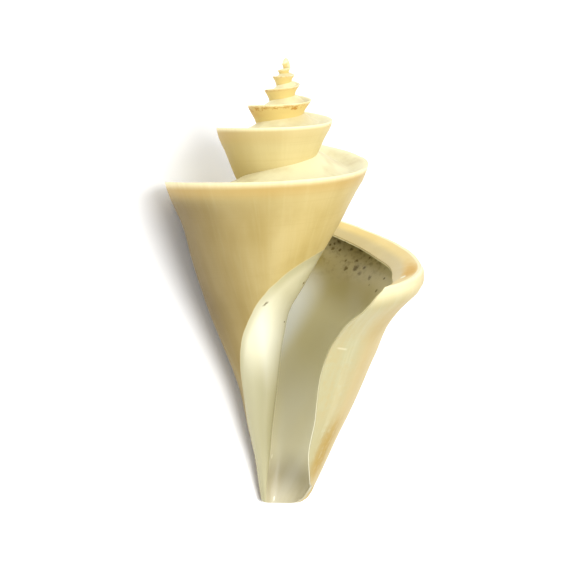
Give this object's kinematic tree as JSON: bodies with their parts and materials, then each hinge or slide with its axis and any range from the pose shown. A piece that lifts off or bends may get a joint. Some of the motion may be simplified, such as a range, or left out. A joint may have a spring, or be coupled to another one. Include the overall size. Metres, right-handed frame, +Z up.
{
  "type": "wonder shell",
  "caption": "Seashell with a stepped pointed spire, a broad sharp-edged spiral shoulder and a long open aperture that narrows to a canal",
  "frame": {"origin": "on the floor under the middle of the shell's bounding box, as the shell lies on its back", "axes": "+Y runs along the length towards the pointed tip, +Z is up, and the aperture faces up and to the right"},
  "size_m": [0.0494, 0.0862, 0.0475],
  "materials": {
    "shell_surface": "smooth with a low satin sheen, tan outside and pale inside"
  },
  "bodies": {
    "root": {"shell": "shell_surface"}
  },
  "joints": []
}
